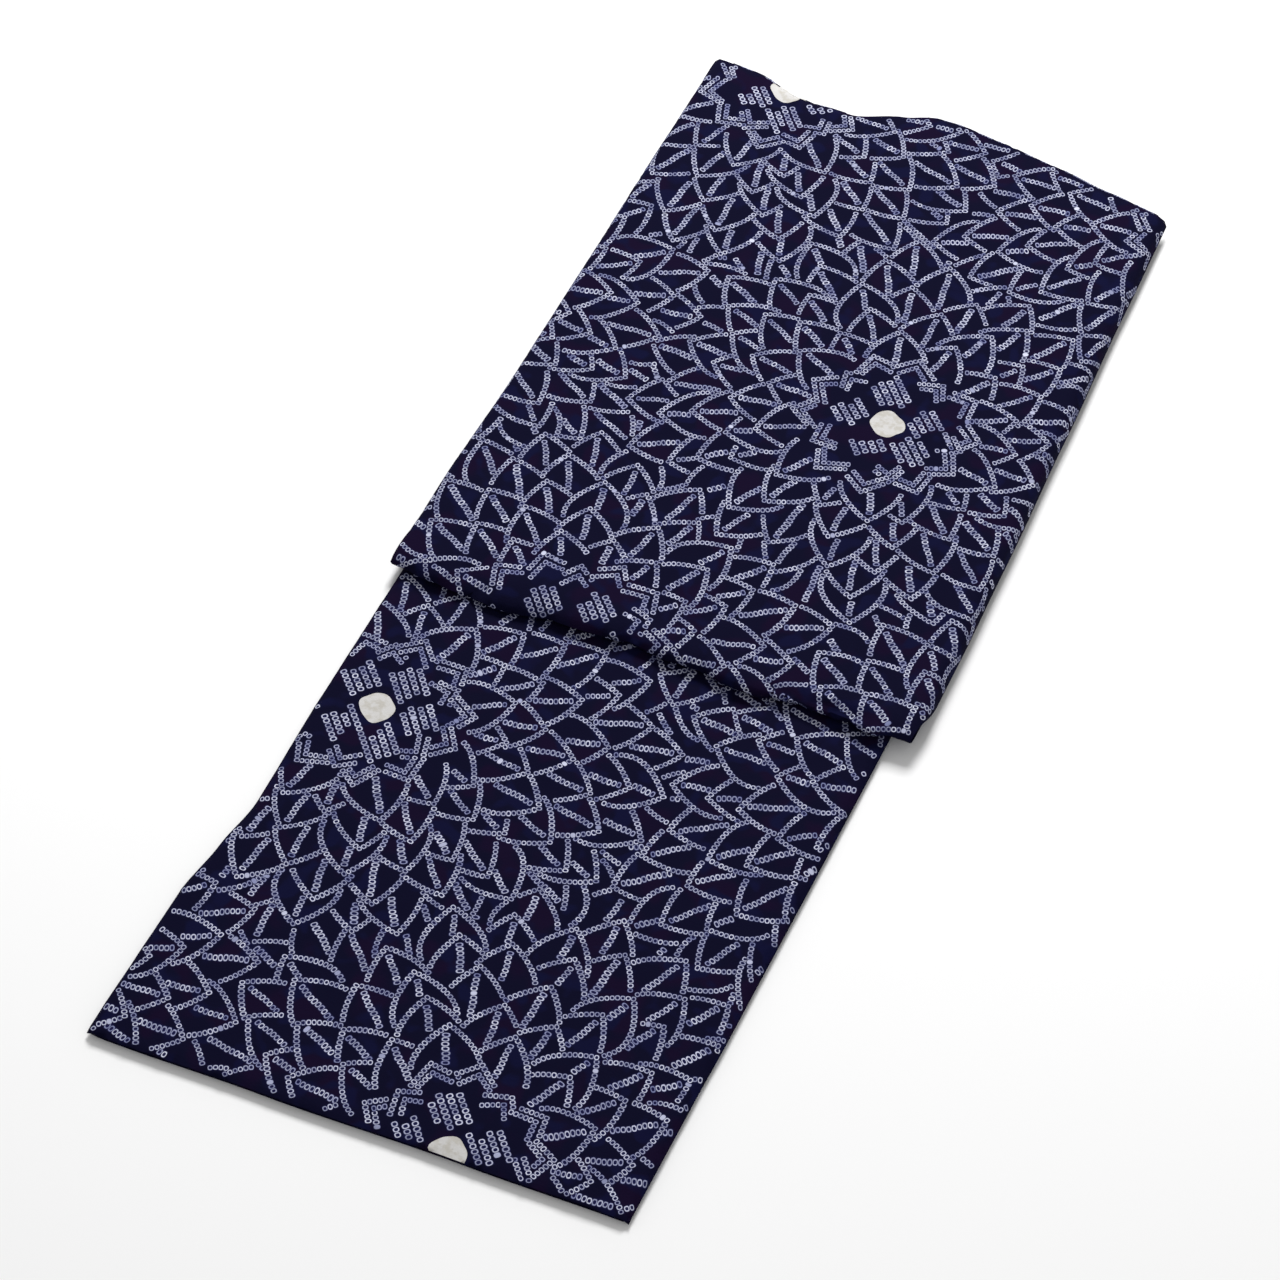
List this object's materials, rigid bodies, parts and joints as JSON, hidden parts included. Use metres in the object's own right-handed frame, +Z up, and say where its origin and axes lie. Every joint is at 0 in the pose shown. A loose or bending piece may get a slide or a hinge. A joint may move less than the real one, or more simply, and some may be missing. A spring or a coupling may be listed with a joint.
{
  "type": "folded cotton yukata robe",
  "caption": "Cotton yukata robe folded into a long flat bundle, its shoulder part turned over on the hem part, with soft folds and layered edges.",
  "frame": {"origin": "middle of the rectangle that the folded bundle covers, on its flat underside", "axes": "+Y along the bundle from the hem to the far fold, +X across it towards the centre back seam, +Z up"},
  "size_m": [0.3506, 0.8848, 0.0186],
  "materials": {
    "dyed_cotton": "matt crinkled plain weave, indigo with rows of small undyed rings",
    "inner_cotton": "matt plain weave, indigo"
  },
  "bodies": {
    "root": {"right_back_panel": "dyed_cotton", "left_back_panel": "dyed_cotton", "right_sleeve": "dyed_cotton", "hidden_layers": "inner_cotton"}
  },
  "joints": []
}
